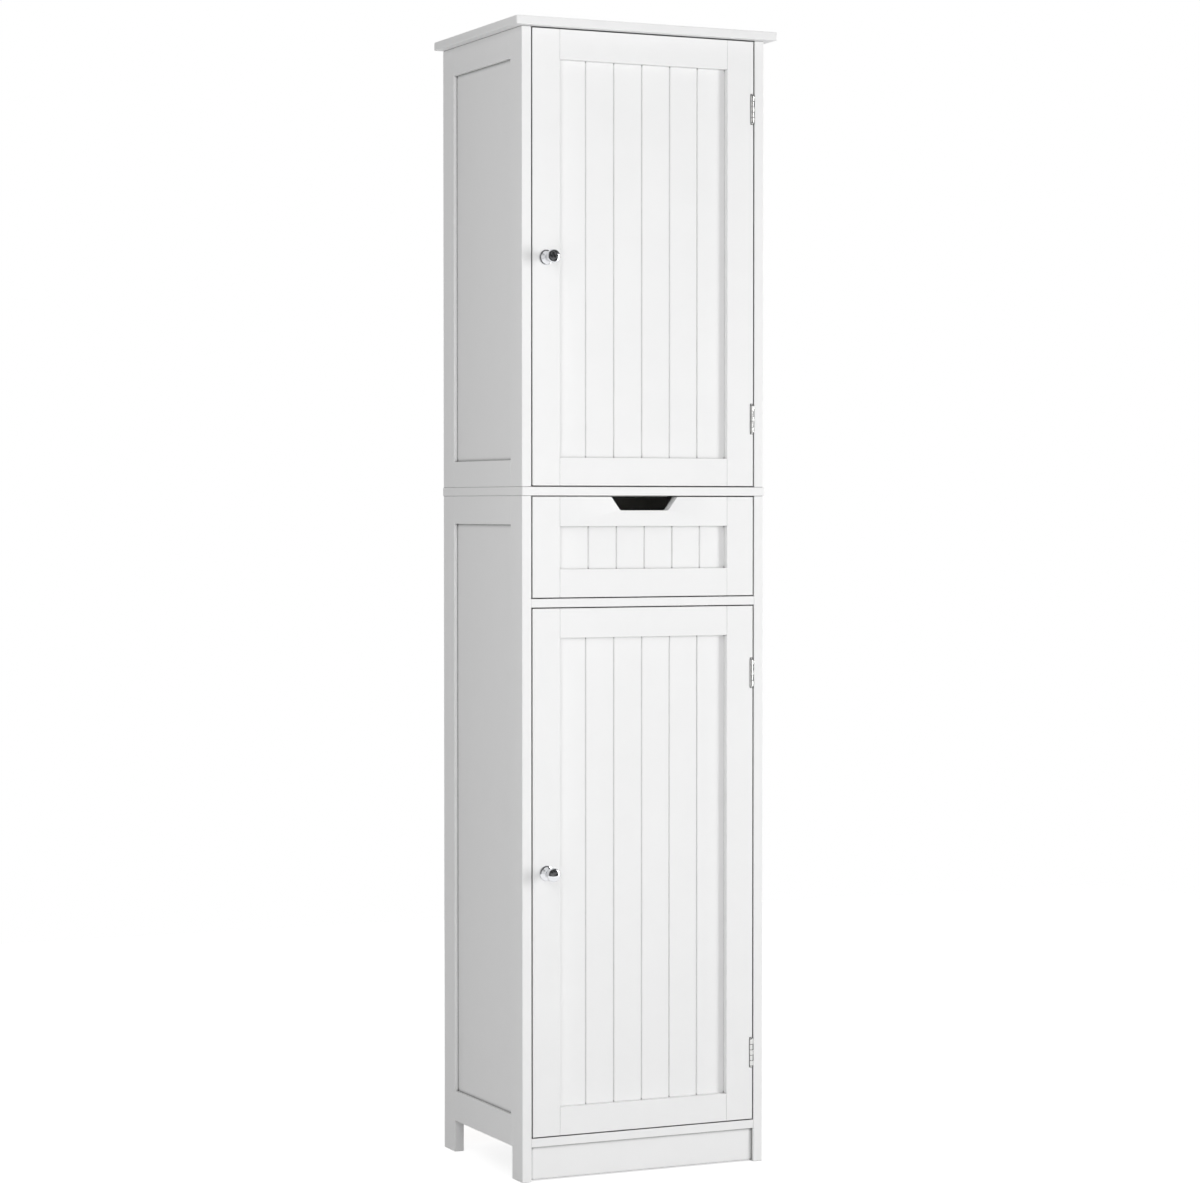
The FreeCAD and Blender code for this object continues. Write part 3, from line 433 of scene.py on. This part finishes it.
# adds a screw to a bmesh at a point in mm, its shank along a direction, turned about its axis by radians
def driveScrew(shape, kind, at, along, turn):
    copy = screwMeshes[kind].copy()
    aim = Vector(along).to_track_quat("Z", "Y").to_matrix().to_4x4()
    copy.transform(Matrix.Translation(Vector(at) * mm) @ aim @ Matrix.Rotation(turn, 4, "Z"))
    shape.from_mesh(copy)
    bpy.data.meshes.remove(copy)


# hinge screws: the crosses stop at different angles, for which each screw's level serves as its turn
hinge = {"fromDoorEnd": 95, "screwSpacing": 22, "setback": 8.7, "doorLeafX": 170.8, "frameLeafX": 171.2}
frameScrews = bmesh.new()
screwY = frontY + hinge["setback"]
for door, (low, high) in doorLevels.items():
    doorScrews = bmesh.new()
    for middle in (low + hinge["fromDoorEnd"], high - hinge["fromDoorEnd"]):
        for level in (middle - hinge["screwSpacing"] / 2, middle + hinge["screwSpacing"] / 2):
            driveScrew(doorScrews, "countersunk", (hinge["doorLeafX"], screwY, level), (-1, 0, 0), level)
            driveScrew(frameScrews, "countersunk", (hinge["frameLeafX"], screwY, level), (1, 0, 0), level * 2)
    makePiece(doorScrews, f"{door}_crosshead_screws", zinc, door, [f"{door}_hinge_screws"])
    knobScrew = bmesh.new()
    driveScrew(knobScrew, "pan", (knob["axisX"], backOfDoorY, (low + high) / 2), (0, -1, 0),
               knob["screwTurn"])
    makePiece(knobScrew, f"{door}_knob_fixing", zinc, door, [f"{door}_knob_screw"])
makePiece(frameScrews, "frame_crosshead_screws", zinc, "carcass", ["hinge_frame_screws"])
print("screws done")


# magnetic catches: moulded housing with a magnet between two pole plates, and flush screws on the strikes
catch = {
    "widthMm": 14, "depthMm": 24, "heightMm": 42, "aboveMiddle": 130, "setback": 1.0, "roundMm": 0.9,
    "poleX": (4.0, 9.0), "poleMm": 1.1, "poleHeightMm": 34, "poleDepthMm": 7, "poleRoundMm": 0.15,
    "magnetSetback": 0.5, "magnetInset": 1, "magnetRoundMm": 0.2,
    "screwOffset": 13, "screwDepth": 15, "screwProud": 0.15,
    "strikeScrewX": -162, "strikeScrewOffset": 11, "strikeScrewProud": 0.05,
}
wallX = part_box("door_catches")[0].x / mm
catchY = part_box("door_catches")[0].y / mm
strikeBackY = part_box("upper_door_strike_plate")[1].y / mm
housings, poles, magnets = bmesh.new(), bmesh.new(), bmesh.new()
farX, farY = wallX + catch["widthMm"], catchY + catch["depthMm"]
poleFarY = catchY + catch["poleDepthMm"]
for door, (low, high) in doorLevels.items():
    level = (low + high) / 2 + catch["aboveMiddle"]
    lowZ, highZ = level - catch["heightMm"] / 2, level + catch["heightMm"] / 2
    roundedBox(housings, (wallX, catchY + catch["setback"], lowZ), (farX, farY, highZ), catch["roundMm"])
    poleLow, poleHigh = level - catch["poleHeightMm"] / 2, level + catch["poleHeightMm"] / 2
    for poleX in catch["poleX"]:
        startX = wallX + poleX
        roundedBox(poles, (startX, catchY, poleLow), (startX + catch["poleMm"], poleFarY, poleHigh),
                   catch["poleRoundMm"], 2)
    magnetLow = (wallX + catch["poleX"][0] + catch["poleMm"], catchY + catch["magnetSetback"],
                 poleLow + catch["magnetInset"])
    magnetHigh = (wallX + catch["poleX"][1], poleFarY, poleHigh - catch["magnetInset"])
    roundedBox(magnets, magnetLow, magnetHigh, catch["magnetRoundMm"], 2)
    for offset in (-catch["screwOffset"], catch["screwOffset"]):  # also the turn of the screw
        at = (farX + catch["screwProud"], catchY + catch["screwDepth"], level + offset)
        driveScrew(poles, "small", at, (-1, 0, 0), offset)
    strikeScrews = bmesh.new()
    for offset in (-catch["strikeScrewOffset"], catch["strikeScrewOffset"]):
        at = (catch["strikeScrewX"], strikeBackY + catch["strikeScrewProud"], level + offset)
        driveScrew(strikeScrews, "small", at, (0, -1, 0), offset)
    makePiece(strikeScrews, f"{door}_strike_screws", zinc, door)
makePiece(housings, "catch_housings", catchPlastic, "carcass", ["door_catches"])
makePiece(poles, "catch_poles", zinc, "carcass")
makePiece(magnets, "catch_magnets", ferrite, "carcass")
print("catches done")


# drawer's top rail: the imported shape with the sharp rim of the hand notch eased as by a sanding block
notch = {"easeMm": 0.9, "segments": 4, "halfTopMm": 51.5, "lowMm": 926.3, "highMm": 946.1,
         "mergeMm": 0.005, "flatDegrees": 0.5, "faceSlackMm": 0.01}
shape = bmesh.new()
shape.from_mesh(cadNodes["drawer_front_top_rail"].data)
bmesh.ops.remove_doubles(shape, verts=shape.verts, dist=notch["mergeMm"] * mm)
bmesh.ops.dissolve_limit(shape, angle_limit=math.radians(notch["flatDegrees"]), verts=shape.verts,
                         edges=shape.edges)


# edges of the front face that border the notch
def onNotchRim(edge):
    for vert in edge.verts:
        x, y, z = vert.co / mm
        if abs(x) >= notch["halfTopMm"] or abs(y - frontY) >= notch["faceSlackMm"]:
            return False
        if not notch["lowMm"] < z < notch["highMm"]:
            return False
    return True


rim = [edge for edge in shape.edges if onNotchRim(edge)]
bmesh.ops.bevel(shape, geom=rim, offset=notch["easeMm"] * mm, segments=notch["segments"], profile=0.5,
                affect="EDGES", material=-1, clamp_overlap=True)
makePiece(shape, "drawer_notched_rail", whiteLacquer, "drawer", ["drawer_front_top_rail"])
print("notch done:", len(rim), "edges eased")


# nails that hold the back panels in their rebate: two columns at the edges and a row at each end
nails = {"headMm": 1.7, "crownShare": 0.8, "segments": 20, "proudMm": 0.35, "sunkMm": 0.05,
         "edgeX": 175.5, "pitchMm": 105, "endMm": 14, "rowInset": 6, "rowX": (-105, 0, 105)}
nailHeads = bmesh.new()
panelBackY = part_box("upper_back_panel")[1].y / mm
nailY = panelBackY + nails["proudMm"] / 2 - nails["sunkMm"]
for panel in ("upper_back_panel", "lower_back_panel"):
    low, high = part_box(panel)
    firstZ, lastZ = low.z / mm + nails["endMm"], high.z / mm - nails["endMm"]
    count = round((lastZ - firstZ) / nails["pitchMm"])
    levels = [firstZ + (lastZ - firstZ) * i / count for i in range(count + 1)]
    spots = [(side * nails["edgeX"], level) for side in (-1, 1) for level in levels]
    rows = (low.z / mm + nails["rowInset"], high.z / mm - nails["rowInset"])
    spots += [(x, level) for level in rows for x in nails["rowX"]]
    for x, z in spots:
        head = bmesh.ops.create_cone(nailHeads, cap_ends=True, segments=nails["segments"],
                                     radius1=nails["headMm"] * mm,
                                     radius2=nails["headMm"] * nails["crownShare"] * mm,
                                     depth=nails["proudMm"] * mm)["verts"]
        bmesh.ops.rotate(nailHeads, verts=head, cent=(0, 0, 0),
                         matrix=Matrix.Rotation(-math.pi / 2, 3, "X"))
        bmesh.ops.translate(nailHeads, verts=head, vec=Vector((x, nailY, z)) * mm)
makePiece(nailHeads, "back_panel_nails", zinc, "carcass", sharpAngle=60)
print("nails done")


# floor: pale and plain; the camera sees it as white as the background, with the cabinet's soft shadow
studioFloor = {"colour": "#DADADA", "glow": 0.72, "halfMetres": 2.6, "dropMm": 0.4, "speckMm": 2.5,
               "roughness": (0.85, 0.95), "specular": 0.1}


def paleFloor():
    material, tree, shader, coords = newMaterial("paleStudioFloor")
    speck = addNode(tree, "ShaderNodeTexNoise", {"Scale": 1 / (studioFloor["speckMm"] * mm), "Detail": 2.0},
                    {"Vector": coords.outputs["Object"]})
    rough = addNode(tree, "ShaderNodeMapRange",
                    {"To Min": studioFloor["roughness"][0], "To Max": studioFloor["roughness"][1]},
                    {"Value": speck.outputs["Fac"]})
    tree.links.new(rough.outputs[0], shader.inputs["Roughness"])
    shader.inputs["Base Color"].default_value = linear(studioFloor["colour"])
    shader.inputs["Specular IOR Level"].default_value = studioFloor["specular"]
    glow = addNode(tree, "ShaderNodeEmission", {"Strength": studioFloor["glow"]})
    shade = addNode(tree, "ShaderNodeBsdfDiffuse", {"Color": linear(studioFloor["colour"])})
    seen = addNode(tree, "ShaderNodeAddShader", links={0: glow.outputs[0], 1: shade.outputs[0]})
    ray = addNode(tree, "ShaderNodeLightPath")
    shown = addNode(tree, "ShaderNodeMath",
                    links={0: ray.outputs["Is Camera Ray"], 1: ray.outputs["Is Glossy Ray"]},
                    operation="MAXIMUM")
    mix = addNode(tree, "ShaderNodeMixShader",
                  links={0: shown.outputs[0], 1: shader.outputs[0], 2: seen.outputs[0]})
    output = next(node for node in tree.nodes if node.type == "OUTPUT_MATERIAL")
    tree.links.new(mix.outputs[0], output.inputs["Surface"])
    return material


shape = bmesh.new()
bmesh.ops.create_grid(shape, x_segments=1, y_segments=1, size=studioFloor["halfMetres"])
bmesh.ops.translate(shape, vec=(0, 0, -studioFloor["dropMm"] * mm), verts=shape.verts)
floorMesh = bpy.data.meshes.new("studio_floor")
shape.to_mesh(floorMesh)
shape.free()
floor = bpy.data.objects.new("studio_floor", floorMesh)
scene.collection.objects.link(floor)
floorMesh.materials.append(paleFloor())


# studio: white to the camera and a dim even sky on the cabinet. Polished metal mirrors white behind, above
# and left of the cabinet and a dark, blotched room elsewhere; each edge runs from dark to white.
studio = {"white": 1.0, "sky": 0.35, "roomDark": (0.02, 0.2), "roomBlotches": 9.0,
          "roomContrast": (0.42, 0.62), "behindEdge": (-0.1, 0.15), "ceilingEdge": (0.7, 0.85),
          "wallEdge": (0.3, 0.85)}
world = bpy.data.worlds.new("studio")
scene.world = world
world.use_nodes = True
sky = world.node_tree
sky.nodes.clear()
ray = addNode(sky, "ShaderNodeLightPath")
seen = addNode(sky, "ShaderNodeMath",
               links={0: ray.outputs["Is Camera Ray"], 1: ray.outputs["Is Transmission Ray"]},
               operation="MAXIMUM")
plain = addNode(sky, "ShaderNodeMapRange", {"To Min": studio["sky"], "To Max": studio["white"]},
                {"Value": seen.outputs[0]})
towards = addNode(sky, "ShaderNodeTexCoord")
split = addNode(sky, "ShaderNodeSeparateXYZ", links={0: towards.outputs["Generated"]})
leftward = addNode(sky, "ShaderNodeMath", {1: -1.0}, {0: split.outputs["X"]}, operation="MULTIPLY")
sides = []
for edge, source in (("behindEdge", split.outputs["Y"]), ("ceilingEdge", split.outputs["Z"]),
                     ("wallEdge", leftward.outputs[0])):
    side = addNode(sky, "ShaderNodeMapRange", {"From Min": studio[edge][0], "From Max": studio[edge][1]},
                   {"Value": source})
    sides.append(side.outputs[0])
ends = addNode(sky, "ShaderNodeMath", links={0: sides[0], 1: sides[1]}, operation="MAXIMUM")
lit = addNode(sky, "ShaderNodeMath", links={0: ends.outputs[0], 1: sides[2]}, operation="MAXIMUM")
blotches = addNode(sky, "ShaderNodeTexNoise", {"Scale": studio["roomBlotches"], "Detail": 2.0},
                   {"Vector": towards.outputs["Generated"]})
room = addNode(sky, "ShaderNodeMapRange",
               {"From Min": studio["roomContrast"][0], "From Max": studio["roomContrast"][1],
                "To Min": studio["roomDark"][0], "To Max": studio["roomDark"][1]},
               {"Value": blotches.outputs["Fac"]})
mirrored = addNode(sky, "ShaderNodeMapRange", {"To Max": studio["white"]},
                   {"Value": lit.outputs[0], "To Min": room.outputs[0]})
strength = addNode(sky, "ShaderNodeMix", links={0: ray.outputs["Is Glossy Ray"], 2: plain.outputs[0],
                                                3: mirrored.outputs[0]}, data_type="FLOAT")
background = addNode(sky, "ShaderNodeBackground", {"Color": (1, 1, 1, 1)},
                     {"Strength": strength.outputs[0]})
addNode(sky, "ShaderNodeOutputWorld", links={"Surface": background.outputs[0]})


# soft boxes: watts, size and place in metres, and whether polished metal mirrors them; all aim at one point
lampAim = (0, 0, 0.85)
softBoxes = {
    "key_light": (85, (1.5, 2.2), (3.1, -2.9, 1.0), True),
    "front_light": (12.0, (1.0, 2.0), (-0.5, -3.2, 1.2), False),
    "fill_light": (6.4, (0.5, 1.8), (-0.9, -1.0, 1.1), False),
    "top_light": (2.0, (0.35, 0.25), (0, 0, 2.25), False),
    "back_light": (12.0, (0.3, 1.6), (0, 2.6, 1.2), False),
}
for name, (watts, size, place, inMetal) in softBoxes.items():
    light = bpy.data.lights.new(name, "AREA")
    light.shape = "RECTANGLE"
    light.size, light.size_y = size
    light.energy = watts
    lamp = bpy.data.objects.new(name, light)
    scene.collection.objects.link(lamp)
    lamp.location = place
    lamp.visible_camera = False
    lamp.visible_glossy = inMetal
    lamp.rotation_euler = (Vector(lampAim) - Vector(place)).to_track_quat("-Z", "Y").to_euler()

# camera at the photograph's viewing angle, in metres
view = {"place": (-1.97716, -4.26045, 0.93168), "headingDegrees": 24.796, "pitchDegrees": -1.627,
        "lensMm": 98.575, "sensorMm": 36, "farMetres": 50}
camera = bpy.data.objects.new("camera", bpy.data.cameras.new("camera"))
scene.collection.objects.link(camera)
camera.location = view["place"]
camera.rotation_euler = (math.radians(90 + view["pitchDegrees"]), 0, math.radians(-view["headingDegrees"]))
camera.data.lens = view["lensMm"]
camera.data.sensor_width = view["sensorMm"]
camera.data.clip_end = view["farMetres"]
scene.camera = camera
scene.view_settings.view_transform = "Standard"
print("light and camera done")
